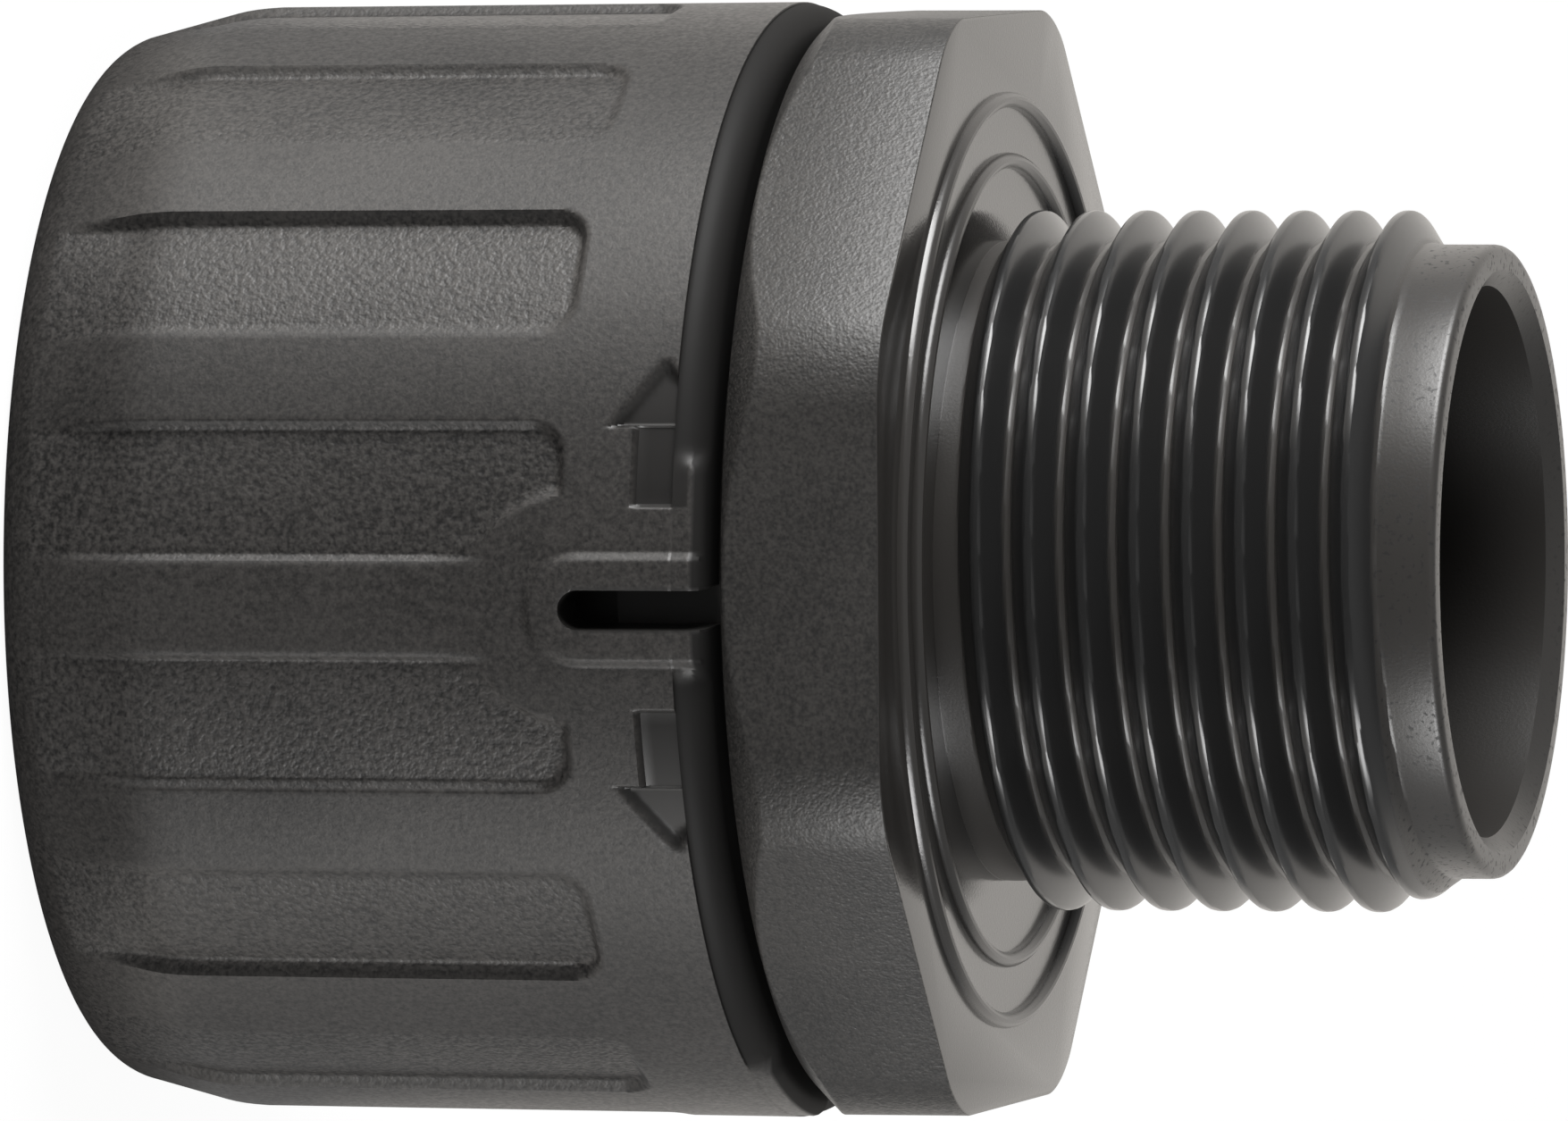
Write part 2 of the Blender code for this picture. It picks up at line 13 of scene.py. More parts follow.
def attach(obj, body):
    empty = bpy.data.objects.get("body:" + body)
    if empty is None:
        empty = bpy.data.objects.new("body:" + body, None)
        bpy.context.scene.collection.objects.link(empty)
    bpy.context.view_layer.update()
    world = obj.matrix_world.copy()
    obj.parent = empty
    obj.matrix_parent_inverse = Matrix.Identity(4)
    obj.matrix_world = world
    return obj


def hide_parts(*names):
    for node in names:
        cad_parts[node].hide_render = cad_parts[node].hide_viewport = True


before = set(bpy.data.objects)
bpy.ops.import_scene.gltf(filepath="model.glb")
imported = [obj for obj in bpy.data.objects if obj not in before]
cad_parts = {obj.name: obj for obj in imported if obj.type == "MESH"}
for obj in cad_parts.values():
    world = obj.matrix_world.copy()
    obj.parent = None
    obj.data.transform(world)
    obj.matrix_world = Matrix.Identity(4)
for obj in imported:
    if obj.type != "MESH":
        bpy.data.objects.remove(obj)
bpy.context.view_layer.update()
bpy.ops.object.select_all(action="DESELECT")

MM = 0.001

# Lock cap
CAP_TURN = 2.7
CAP_RADIUS = 15.644 * MM
CAP_LENGTH = 20.5 * MM
SIDE_FOOT = 4.5 * MM
SIDE_FOOT_RADIUS = 15.52 * MM
TAPER_TOP = 3.3 * MM
TAPER_TOP_RADIUS = 15.358 * MM
TAPER = 15.0
CORNER_RADIUS = 1.4 * MM
END_RADIUS = 13.4 * MM
ENTRY_RADIUS = 11.0 * MM
CAVITY_RADIUS = 13.7 * MM
CONE_FOOT = 2.1 * MM
CONE_TOP = 6.5 * MM
RIM_ROUND = 0.9 * MM
SEAM_HEIGHT = 19.6 * MM
RIM_PADS = ((-15.6, 6.8), (59.8, 82.2))
PAD_EDGE = 1.3

# Lugs of the cap, and the hooks and stops of the body that they turn between
LUG_RADIUS = 12.95 * MM
LUG_FOOT = 17.5 * MM
LUG_TOP = 18.7 * MM
LUG_WIDTH = 20
LOCK_FIRST = 45
LOCK_ROOT = 12.3 * MM
HOOK_FOOT = 15.9 * MM
HOOK_TOP = 17.2 * MM
STOP_TOP = 19.4 * MM
STOP_WIDTH = 21
STOP_SETBACK = 0.1 * MM

# Grip panels of the cap
PANEL_PITCH = 24
PANEL_HALF = 6.9
PANEL_TOP = 16.4 * MM
PANEL_CORNER = 0.9 * MM
PANEL_DEPTH = 0.25 * MM
PANEL_LEAN = 0.15 * MM
PANEL_WALL = 0.3 * MM
PANEL_FOOT = 1.0 * MM

# Slot of the cap, its border and arrows
SLOT_HALF = 0.55 * MM
SLOT_CENTRE = 16.95 * MM
BORDER_HALF = 1.65 * MM
BORDER_HEIGHT = 0.175 * MM
BORDER_EDGE = 0.34 * MM
GUARD_RADIUS = 3.35 * MM
ARROW_HEIGHT = 19.25 * MM
ARROW_DEPTH = 0.24 * MM
ARROW_EDGE = 0.2 * MM
SHAFT_HALF = 0.85 * MM
SHAFT_START = 10.2
SHAFT_END = 18.8
HEAD_START = 18.4
HEAD_TIP = 26.2
HEAD_HALF = 1.6 * MM

# Threaded body
COLLAR_BACK = 20.9 * MM
COLLAR_FACE = 25.4 * MM
COLLAR_FLATS = 30.6 * MM
COLLAR_CORNER = 4.0 * MM
BEADS = (11.2 * MM, 12.9 * MM)
BEAD_WIDTH = 0.45 * MM
BEAD_HEIGHT = 0.28 * MM
THREAD_ROOT = 8.95 * MM
THREAD_DEPTH = 0.85 * MM
THREAD_PITCH = 1.5 * MM
THREAD_CREST = 0.12 * MM
THREAD_CREST_CURVE = 0.8 * MM
THREAD_FLANK = 0.54 * MM
THREAD_ROUND = 0.14 * MM
CREST_HEIGHT = 26.41 * MM
CREST_ANGLE = 267.5
THREAD_START = (25.6 * MM, 26.1 * MM)
THREAD_END = (37.5 * MM, 37.85 * MM)
HOLE_MARGIN = 0.6 * MM
NOSE_RADIUS = 8.85 * MM
NOSE_TOP = 39.6 * MM
NOSE_FOOT = 37.9 * MM
BORE_RADIUS = 7.7 * MM
SOCKET_RADIUS = 10.85 * MM
SOCKET_FLOOR = 21.6 * MM
SLEEVE_RADIUS = 12.65 * MM
SLEEVE_MOUTH = 9.9 * MM
SEAL_SEAT = 11.95 * MM
SEAL_SEAT_TOP = 14.0 * MM
NECK_RADIUS = 13.4 * MM
NECK_FOOT = 19.0 * MM

# Camera and lamps
CAMERA_LENS = 613.4
CAMERA_DISTANCE = 0.75
CAMERA_RISE = 13.9
CAMERA_TURN = 2.5
CAMERA_ROLL = 0.2
CAMERA_SHIFT = -0.0008
AIM_HEIGHT = 18.95 * MM
LAMP_DISTANCE = 0.6


# Modelling helpers

def edit(piece):
    """Open a piece in edit mode with all of it selected."""
    bpy.ops.object.select_all(action="DESELECT")
    bpy.context.view_layer.objects.active = piece
    piece.select_set(True)
    bpy.ops.object.mode_set(mode="EDIT")
    bpy.ops.mesh.select_all(action="SELECT")


def done():
    """Leave edit mode."""
    bpy.ops.object.mode_set(mode="OBJECT")


def spun(name, outline, steps):
    """A ring of points is bent to a closed outline of (radius, height) and spun round the axis."""
    bpy.ops.mesh.primitive_circle_add(vertices=len(outline), radius=1, location=(0, 0, 0))
    piece = bpy.context.object
    piece.name = name
    for vertex, (radius, height) in zip(piece.data.vertices, outline):
        vertex.co = (0, -radius, height)
    edit(piece)
    bpy.ops.mesh.spin(steps=steps, angle=math.tau, center=(0, 0, 0), axis=(0, 0, 1))
    bpy.ops.mesh.select_all(action="SELECT")
    bpy.ops.mesh.remove_doubles(threshold=MM / 1000)
    bpy.ops.mesh.normals_make_consistent(inside=False)
    done()
    return piece


def arc(centre_r, centre_z, radius, start, end, steps):
    """Points of an arc in an outline, from one angle to another in degrees above the radial direction."""
    turns = np.radians(np.linspace(start, end, steps + 1))
    return [(centre_r + radius * math.cos(t), centre_z + radius * math.sin(t)) for t in turns]


def straight(start, end, steps):
    """Points between two outline points, without the last."""
    return [tuple(np.array(start) + (np.array(end) - np.array(start)) * i / steps) for i in range(steps)]


def combine(piece, tool, operation):
    """Join a tool to a piece or cut it away, and throw the tool away."""
    bpy.ops.object.select_all(action="DESELECT")
    bpy.context.view_layer.objects.active = piece
    cut = piece.modifiers.new("combine", "BOOLEAN")
    cut.operation = operation
    cut.solver = "EXACT"
    cut.object = tool
    bpy.ops.object.modifier_apply(modifier=cut.name)
    bpy.data.objects.remove(tool, do_unlink=True)


def smooth(piece, angle=30):
    """Shade a piece smooth, with the edges sharper than an angle left crisp."""
    bpy.ops.object.select_all(action="DESELECT")
    bpy.context.view_layer.objects.active = piece
    piece.select_set(True)
    bpy.ops.object.shade_smooth_by_angle(angle=math.radians(angle))


def step(value, start, end):
    """A soft step from 0 at start to 1 at end."""
    share = np.clip((value - start) / (end - start), 0, 1)
    return share * share * (3 - 2 * share)


def points_of(piece):
    """A piece's points as an array of x, y, z."""
    places = np.zeros(len(piece.data.vertices) * 3)
    piece.data.vertices.foreach_get("co", places)
    return places.reshape(-1, 3)


# Lock cap

def cap_outline():
    """Closed outline of the cap: end face, corner, taper, side, rim, cavity, clamping cone and entry."""
    chamfer = 0.5 * MM
    outline = straight((ENTRY_RADIUS + chamfer, 0), (END_RADIUS, 0), 2)
    outline += arc(END_RADIUS, CORNER_RADIUS, CORNER_RADIUS, -90, -TAPER, 14)
    outline += straight(outline[-1], (TAPER_TOP_RADIUS, TAPER_TOP), 8)[1:]
    outline += [(TAPER_TOP_RADIUS, TAPER_TOP), (15.42 * MM, 3.57 * MM), (15.465 * MM, 3.85 * MM),
                (15.497 * MM, 4.15 * MM)]
    slope = (CAP_RADIUS - SIDE_FOOT_RADIUS) / (SEAM_HEIGHT - SIDE_FOOT)

    def side(height):
        return (SIDE_FOOT_RADIUS + slope * (height - SIDE_FOOT), height)
    outline += straight(side(SIDE_FOOT), side(14.2 * MM), 13)
    outline += straight(side(14.2 * MM), side(15.2 * MM), 5)
    outline += straight(side(15.2 * MM), side(16.7 * MM), 20)
    outline += straight(side(16.7 * MM), side(19.48 * MM), 18)
    outline += [side(19.48 * MM), side(19.54 * MM), side(19.58 * MM)]
    outline += [(CAP_RADIUS - 0.07 * MM, SEAM_HEIGHT)]
    outline += arc(CAP_RADIUS - 0.05 * MM - RIM_ROUND, SEAM_HEIGHT, RIM_ROUND, 3, 90, 14)
    outline += straight((CAP_RADIUS - RIM_ROUND - 0.3 * MM, CAP_LENGTH), (CAVITY_RADIUS, CAP_LENGTH), 1)
    outline += [(CAVITY_RADIUS, CAP_LENGTH), (CAVITY_RADIUS, 14 * MM), (CAVITY_RADIUS, CONE_TOP),
                (ENTRY_RADIUS + 0.6 * MM, CONE_FOOT), (ENTRY_RADIUS, CONE_FOOT),
                (ENTRY_RADIUS, chamfer), (ENTRY_RADIUS + 0.15 * MM, 0.15 * MM)]
    return outline


def cap_columns():
    """Angles of the spun columns: bunched at the edges of the slot's border, the arrows and the panels."""
    near = []
    for start, end, count in ((0, 4.8, 8), (4.8, 8.4, 26), (8.4, 9.9, 3), (9.9, 10.8, 6), (10.8, 17.7, 10),
                              (17.7, 19.5, 12), (19.5, 30, 22)):
        near += list(start + (end - start) * np.arange(count) / count)
    far = []
    for start, end, count in ((4.2, 9.2, 13), (9.2, 14.8, 3), (14.8, 19.8, 13), (19.8, 28.2, 5)):
        angles = start + (end - start) * np.arange(count) / count
        turned = [PANEL_PITCH * k + a for k in range(1, 14) for a in angles]
        far += [a for a in turned if 30 <= a <= 330]
    return np.array(sorted(near + far + [360 - a for a in near if a > 0]))


def panel_relief(angle, height, slot_u):
    """Where the grip panels are, from 0 to 1, and how deep they lie at an angle and a height."""
    middle = (np.floor(angle / PANEL_PITCH) + 0.5) * PANEL_PITCH
    off = angle - middle
    across = np.radians(off) * CAP_RADIUS
    half = math.radians(PANEL_HALF) * CAP_RADIUS
    away_x = np.abs(across) - half + PANEL_CORNER
    away_y = height - PANEL_TOP + PANEL_CORNER
    outside = np.hypot(np.maximum(away_x, 0), np.maximum(away_y, 0))
    distance = np.minimum(np.maximum(away_x, away_y), 0) + outside - PANEL_CORNER
    guard = GUARD_RADIUS - np.hypot(slot_u, height - SLOT_CENTRE)
    distance = np.maximum(distance, guard)
    mask = step(-distance, -PANEL_WALL / 2, PANEL_WALL / 2)
    from_front = (middle + 90) % 180 - 90
    lean = PANEL_LEAN * np.clip(from_front / 36, -1, 1) * np.clip(off / PANEL_HALF, -1.1, 1.1)
    mean = np.interp(np.abs(from_front), [36, 60, 90], [PANEL_DEPTH, 0.6 * PANEL_DEPTH, 0.5 * PANEL_DEPTH])
    fade = np.clip((height - PANEL_FOOT) / (TAPER_TOP - PANEL_FOOT), 0, 1)
    return mask * (height > PANEL_FOOT), np.maximum(mean + lean, 0) * mask * fade


def carve_cap(cap, columns):
    """Move the spun cap's points into its panels, slot border, arrows and rim pads."""
    places = points_of(cap)
    radius = np.hypot(places[:, 0], places[:, 1])
    height = places[:, 2]
    even = np.degrees(np.arctan2(places[:, 0], -places[:, 1])) % 360
    count = len(columns)
    angle = np.interp(even, np.arange(count + 1) * 360 / count, np.append(columns, 360.0))
    slot_angle = (angle + 180) % 360 - 180
    slot_u = np.radians(slot_angle) * CAP_RADIUS

    # Rim: round, but square at its two pads
    turn = np.degrees(np.arctan2(height - SEAM_HEIGHT, radius - (CAP_RADIUS - 0.05 * MM - RIM_ROUND)))
    on_rim = (height > SEAM_HEIGHT - 0.01 * MM) & (radius > CAP_RADIUS - RIM_ROUND - 0.1 * MM)
    pad = np.zeros(len(places))
    for start, end in RIM_PADS:
        wide = (angle - (start + end) / 2 + 180) % 360 - 180
        half = (end - start) / 2
        pad = np.maximum(pad, step(half - np.abs(wide), -PAD_EDGE, PAD_EDGE))
    stations = [0, 55, 60, 65, 70, 75, 90]
    pad_r = np.interp(turn, stations, np.array([15.62, 15.64, 15.6, 15.5, 15.38, 15.3, 14.7]) * MM)
    pad_z = np.interp(turn, stations, np.array([19.62, 20.15, 20.28, 20.4, 20.47, 20.5, 20.5]) * MM)
    blend = pad * on_rim
    radius = radius + (pad_r - radius) * blend
    height = height + (pad_z - height) * blend

    # Side and taper: everything that is sunk or raised, along the surface's normal
    tilt = TAPER * (1 - step(height, TAPER_TOP - 0.4 * MM, SIDE_FOOT))
    outer = (radius > END_RADIUS - 0.01 * MM) & (height < SEAM_HEIGHT + RIM_ROUND)
    outer &= ~((height > CONE_FOOT) & (radius < CAVITY_RADIUS + 0.2 * MM))
    outer &= height > -0.01 * MM
    inside, sunk = panel_relief(angle, height, slot_u)
    mark(cap, "panel", inside)
    from_slot = np.where(height < SLOT_CENTRE, np.hypot(slot_u, height - SLOT_CENTRE), np.abs(slot_u))
    raised = BORDER_HEIGHT * step(BORDER_HALF - from_slot, 0, BORDER_EDGE)
    raised -= 0.05 * MM * step(SLOT_HALF - from_slot, -0.1 * MM, 0)
    away = np.abs(slot_angle)
    line = np.abs(height - ARROW_HEIGHT)
    shaft_edge = np.minimum(np.radians(away - SHAFT_START) * CAP_RADIUS, SHAFT_HALF - line)
    shaft_edge = np.where(away < SHAFT_END, shaft_edge, -1)
    slant = HEAD_HALF * (HEAD_TIP - away) / (HEAD_TIP - HEAD_START) - line
    head_edge = np.minimum(np.radians(away - HEAD_START) * CAP_RADIUS, slant * 0.8)
    arrow = np.maximum(shaft_edge, head_edge)
    recess = ARROW_DEPTH * step(arrow, 0, ARROW_EDGE) * (height < SEAM_HEIGHT - 0.02 * MM)
    normal_r = np.cos(np.radians(tilt))
    normal_z = -np.sin(np.radians(tilt))
    push = (raised - sunk - recess) * outer
    push *= np.where(height > SEAM_HEIGHT - 0.01 * MM, np.where(radius > CAP_RADIUS - 0.2 * MM, pad, 0), 1)
    radius = radius + push * normal_r
    height = height + push * normal_z
    around = np.radians(angle + CAP_TURN)
    places = np.stack([radius * np.sin(around), -radius * np.cos(around), height], axis=1)
    cap.data.vertices.foreach_set("co", places.ravel())
    rim = np.where(height > 20.15 * MM, 1, 1 - pad) * (height >= SEAM_HEIGHT - 0.02 * MM)
    mark(cap, "grain", (1 - rim) * (1 - step(arrow, 0, 0.1 * MM)) * outer)
    mark(cap, "rim", rim)
    cap.data.update()


def mark(piece, name, values):
    """Keep a value for each point of a piece, for its finish to read."""
    layer = piece.data.attributes.new(name, "FLOAT", "POINT")
    layer.data.foreach_set("value", np.asarray(values, dtype=np.float32))


def slot_cutter():
    """A plug the shape of the screwdriver slot, round at its foot."""
    bpy.ops.mesh.primitive_cylinder_add(vertices=48, radius=SLOT_HALF, depth=4 * MM, location=(0, 0, 0),
                                        rotation=(math.pi / 2, 0, 0))
    plug = bpy.context.object
    bpy.ops.object.transform_apply(location=True, rotation=True, scale=True)
    for vertex in plug.data.vertices:
        if vertex.co.z > 0.001 * MM:
            vertex.co.z += CAP_LENGTH - SLOT_CENTRE + MM
        vertex.co.z += SLOT_CENTRE
        vertex.co.y -= CAP_RADIUS - MM
    plug.data.transform(Matrix.Rotation(math.radians(CAP_TURN), 4, "Z"))
    return plug


def lock_cap():
    """The domed cap, spun, carved and slotted."""
    columns = cap_columns()
    cap = spun("lock_cap", cap_outline(), len(columns))
    carve_cap(cap, columns)
    combine(cap, slot_cutter(), "DIFFERENCE")
    for quarter in range(4):
        middle = LOCK_FIRST + 90 * quarter + CAP_TURN
        lug = ring_block(LUG_RADIUS, CAVITY_RADIUS + 0.3 * MM, LUG_FOOT, LUG_TOP, middle, LUG_WIDTH)
        combine(cap, lug, "UNION")
    smooth(cap, 40)
    return cap


# Threaded body

def ring_block(inner, outer, foot, top, centre, width):
    """A block cut from a ring: a flat section, spun clockwise through a width in degrees about a centre."""
    bpy.ops.mesh.primitive_plane_add(size=1, location=(0, 0, 0))
    block = bpy.context.object
    corners = [(inner, foot), (outer, foot), (inner, top), (outer, top)]
    for vertex, (radius, height) in zip(block.data.vertices, corners):
        vertex.co = (0, -radius, height)
    block.data.transform(Matrix.Rotation(math.radians(centre + width / 2), 4, "Z"))
    edit(block)
    bpy.ops.mesh.spin(steps=12, angle=math.radians(width), center=(0, 0, 0), axis=(0, 0, 1))
    bpy.ops.mesh.select_all(action="SELECT")
    bpy.ops.mesh.remove_doubles(threshold=MM / 1000)
    bpy.ops.mesh.normals_make_consistent(inside=False)
    done()
    return block


def wrench_collar():
    """The eight-sided collar: its corners rounded, drawn up to the face, and cut to a cone behind."""
    reach = COLLAR_FLATS / 2 / math.cos(math.pi / 8)
    bpy.ops.mesh.primitive_circle_add(vertices=8, radius=reach, fill_type="NGON",
                                      location=(0, 0, COLLAR_BACK), rotation=(0, 0, math.pi / 8))
    collar = bpy.context.object
    collar.name = "body_moulding"
    bpy.ops.object.transform_apply(location=True, rotation=True, scale=True)
    edit(collar)
    bpy.ops.mesh.bevel(affect="VERTICES", offset=COLLAR_CORNER * math.tan(math.pi / 8), offset_type="OFFSET",
                       segments=12, profile=0.5)
    bpy.ops.mesh.select_all(action="SELECT")
    bpy.ops.mesh.extrude_region_move(TRANSFORM_OT_translate={"value": (0, 0, COLLAR_FACE - COLLAR_BACK)})
    bpy.ops.mesh.select_all(action="SELECT")
    bpy.ops.mesh.normals_make_consistent(inside=False)
    done()
    back = COLLAR_FLATS / 2 - 0.1 * MM
    rise = COLLAR_FACE - COLLAR_BACK
    cone = spun("back_cone", [(0, COLLAR_BACK - MM), (back - MM, COLLAR_BACK - MM),
                              (back + rise + MM, COLLAR_FACE + MM), (0, COLLAR_FACE + MM)], 240)
    combine(collar, cone, "INTERSECT")
    edit(collar)
    bpy.ops.mesh.remove_doubles(threshold=MM / 50)
    bpy.ops.mesh.dissolve_limited(angle_limit=math.radians(1))
    bpy.ops.mesh.normals_make_consistent(inside=False)
    done()
    soften = collar.modifiers.new("soft_edges", "BEVEL")
    soften.width = 0.1 * MM
    soften.segments = 3
    soften.limit_method = "ANGLE"
    soften.angle_limit = math.radians(25)
    bpy.context.view_layer.objects.active = collar
    bpy.ops.object.modifier_apply(modifier=soften.name)
    return collar


def crest_height(angle):
    """How high a crest of the thread lies at an angle; the others are whole pitches away."""
    return CREST_HEIGHT + THREAD_PITCH * (angle - CREST_ANGLE) / 360


def thread_rise(share):
    """Height of the thread over its root, so many pitches away from a crest."""
    fine = 600
    along = np.abs(np.arange(fine) / fine - 0.5) * THREAD_PITCH
    crest = THREAD_DEPTH - np.minimum(along, THREAD_CREST) ** 2 / 2 / THREAD_CREST_CURVE
    sharp = crest * np.interp(along, [THREAD_CREST, THREAD_CREST + THREAD_FLANK], [1, 0])
    reach = round(fine * THREAD_ROUND / THREAD_PITCH)
    window = np.hanning(reach + 2)[1:-1]
    soft = np.convolve(np.concatenate([sharp] * 3), window / window.sum(), "same")[fine:2 * fine]
    return np.interp(share, np.arange(fine) / fine - 0.5, soft, period=1)


def spigot():
    """The bored spigot: spun in fine rows, whose points are then moved out to the thread."""
    foot = SOCKET_FLOOR - 0.02 * MM
    wall = straight((THREAD_ROOT, COLLAR_FACE - 0.3 * MM), (THREAD_ROOT, NOSE_FOOT + 0.5 * MM), 250)
    piece = spun("spigot", [
        (BORE_RADIUS, foot), (THREAD_ROOT, foot), *wall,
        *arc(NOSE_RADIUS - 0.25 * MM, NOSE_TOP - 0.25 * MM, 0.25 * MM, 0, 90, 4),
        (BORE_RADIUS + 0.45 * MM, NOSE_TOP), (BORE_RADIUS, NOSE_TOP - 0.45 * MM)], 240)
    places = points_of(piece)
    radius = np.hypot(places[:, 0], places[:, 1])
    angle = np.degrees(np.arctan2(places[:, 0], -places[:, 1])) % 360
    turns = (places[:, 2] - crest_height(angle)) / THREAD_PITCH
    crest = crest_height(angle) + np.round(turns) * THREAD_PITCH
    fade = step(crest, *THREAD_START) * (1 - step(crest, *THREAD_END))
    root = np.interp(places[:, 2], [NOSE_FOOT - 0.6 * MM, NOSE_FOOT], [THREAD_ROOT, NOSE_RADIUS])
    on_wall = radius > THREAD_ROOT - 0.01 * MM
    places[:, :2] *= np.where(on_wall, (root + thread_rise(turns) * fade) / radius, 1)[:, None]
    piece.data.vertices.foreach_set("co", places.ravel())
    return piece


def threaded_body():
    """Collar, beads, sleeve, hooks and stops, bored through and then joined to the spigot."""
    body = wrench_collar()
    core = spun("core", [
        (0, SLEEVE_MOUTH), (SLEEVE_RADIUS - 0.2 * MM, SLEEVE_MOUTH), (SLEEVE_RADIUS, SLEEVE_MOUTH + 0.2 * MM),
        (SLEEVE_RADIUS, NECK_FOOT), (NECK_RADIUS, NECK_FOOT), (NECK_RADIUS, COLLAR_BACK + 0.5 * MM),
        (0, COLLAR_BACK + 0.5 * MM)], 240)
    combine(body, core, "UNION")
    for radius in BEADS:
        half = BEAD_WIDTH / 2
        ridge = [(radius + half * math.cos(t), COLLAR_FACE + BEAD_HEIGHT * math.sin(t))
                 for t in np.linspace(0, math.pi, 9)]
        bead = spun("bead", [(radius + half, COLLAR_FACE - 0.4 * MM), *ridge,
                             (radius - half, COLLAR_FACE - 0.4 * MM)], 240)
        combine(body, bead, "UNION")
    for quarter in range(4):
        middle = 90 * quarter + CAP_TURN
        hook = ring_block(LOCK_ROOT, NECK_RADIUS, HOOK_FOOT, HOOK_TOP, middle + LOCK_FIRST, LUG_WIDTH)
        combine(body, hook, "UNION")
        stop = ring_block(LOCK_ROOT, NECK_RADIUS - STOP_SETBACK, LUG_FOOT, STOP_TOP, middle, STOP_WIDTH)
        combine(body, stop, "UNION")
    spigot_hole = BORE_RADIUS + HOLE_MARGIN
    way = spun("way", [
        (0, SLEEVE_MOUTH - MM), (SEAL_SEAT, SLEEVE_MOUTH - MM), (SEAL_SEAT, SEAL_SEAT_TOP),
        (SOCKET_RADIUS, SEAL_SEAT_TOP), (SOCKET_RADIUS, SOCKET_FLOOR), (spigot_hole, SOCKET_FLOOR),
        (spigot_hole, COLLAR_FACE + MM), (0, COLLAR_FACE + MM)], 240)
    combine(body, way, "DIFFERENCE")
    combine(body, spigot(), "UNION")
    smooth(body, 25)
    return body


# Finishes

class Value:
    """A number that varies over a surface: sums on it add Math nodes to its finish."""

    def __init__(self, finish, socket):
        self.finish = finish
        self.socket = socket

    def math(self, operation, first, second):
        return self.finish.node("ShaderNodeMath", {"operation": operation}, first, second)

    def __add__(self, other):
        return self.math("ADD", self, other)

    __radd__ = __add__

    def __sub__(self, other):
        return self.math("SUBTRACT", self, other)

    def __rsub__(self, other):
        return self.math("SUBTRACT", other, self)

    def __mul__(self, other):
        return self.math("MULTIPLY", self, other)

    __rmul__ = __mul__


class Shading:
    """A node tree, built node by node."""

    def __init__(self, tree):
        self.tree = tree

    def node(self, kind, settings, *values, output=0, **named):
        """Add a node: its settings first, then what goes into its sockets, by order or by name."""
        item = self.tree.nodes.new(kind)
        for key, value in settings.items():
            setattr(item, key, value)
        for index, value in enumerate(values):
            self.feed(item.inputs[index], value)
        for key, value in named.items():
            self.feed(item.inputs[key], value)
        return Value(self, item.outputs[output])

    def feed(self, socket, value):
        """Link a varying value to a socket, or set a constant on it."""
        if isinstance(value, Value):
            self.tree.links.new(value.socket, socket)
        else:
            socket.default_value = value

    def ramp(self, value, start, end):
        """A soft step of a varying value from 0 to 1."""
        soft = {"interpolation_type": "SMOOTHSTEP"}
        return self.node("ShaderNodeMapRange", soft, value, start, end, 0.0, 1.0)

    def mix(self, share, first, second):
        """Colour between two colours."""
        item = self.tree.nodes.new("ShaderNodeMix")
        item.data_type = "RGBA"
        self.feed(item.inputs["Factor"], share)
        self.feed(item.inputs[6], first)
        self.feed(item.inputs[7], second)
        return Value(self, item.outputs[2])

    def ray(self, kind):
        """1 for rays of one kind, otherwise 0."""
        return self.node("ShaderNodeLightPath", {}, output=kind)

    def along(self, direction, axis):
        """How much of a direction lies along an axis, from -1 to 1."""
        level = self.node("ShaderNodeVectorMath", {"operation": "NORMALIZE"}, direction)
        return self.node("ShaderNodeVectorMath", {"operation": "DOT_PRODUCT"}, level, axis, output="Value")

    def sector(self, direction, angle, half):
        """1 where a direction looks to a sector of the studio about an angle, otherwise 0."""
        axis = (math.sin(math.radians(angle)), -math.cos(math.radians(angle)), 0)
        edge = [math.cos(math.radians(half + side)) for side in (2, -2)]
        return self.ramp(self.along(direction, axis), *edge)

    def studio(self, direction):
        """What gloss shows in a direction: white behind and by the lamps, dim at the sides, dark in front."""
        shade = self.mix(self.sector(direction, 357.5, 42), (0.4, 0.4, 0.4, 1), (0.10, 0.10, 0.10, 1))
        for angle, half in ((180, 52), (291, 25), (58.5, 11)):
            shade = self.mix(self.sector(direction, angle, half), shade, (1, 0.96, 0.91, 1))
        return shade


class Finish(Shading):
    """A material of one moulded surface."""

    def __init__(self, name):
        self.material = bpy.data.materials.new(name)
        self.material.use_nodes = True
        super().__init__(self.material.node_tree)
        self.shader = self.tree.nodes["Principled BSDF"]
        self.places = self.node("ShaderNodeTexCoord", {}, output="Object")

    def noise(self, scale, detail=2.0, roughness=0.5):
        """Soft noise between 0 and 1, of so many lumps a metre."""
        return self.node("ShaderNodeTexNoise", {}, Vector=self.places, Scale=scale, Detail=detail,
                         Roughness=roughness)

    def attribute(self, name):
        """A value kept on the piece's points."""
        return self.node("ShaderNodeAttribute", {"attribute_name": name}, output="Fac")

    def bump(self, height, distance):
        """Relief of a height between 0 and 1, so many metres deep."""
        return self.node("ShaderNodeBump", {}, Strength=1.0, Distance=distance, Height=height)

    def finish(self, colour, roughness, normal):
        """Give the shader its colour, roughness and relief."""
        self.feed(self.shader.inputs["Base Color"], colour)
        self.feed(self.shader.inputs["Roughness"], roughness)
        self.feed(self.shader.inputs["Normal"], normal)
        return self.material


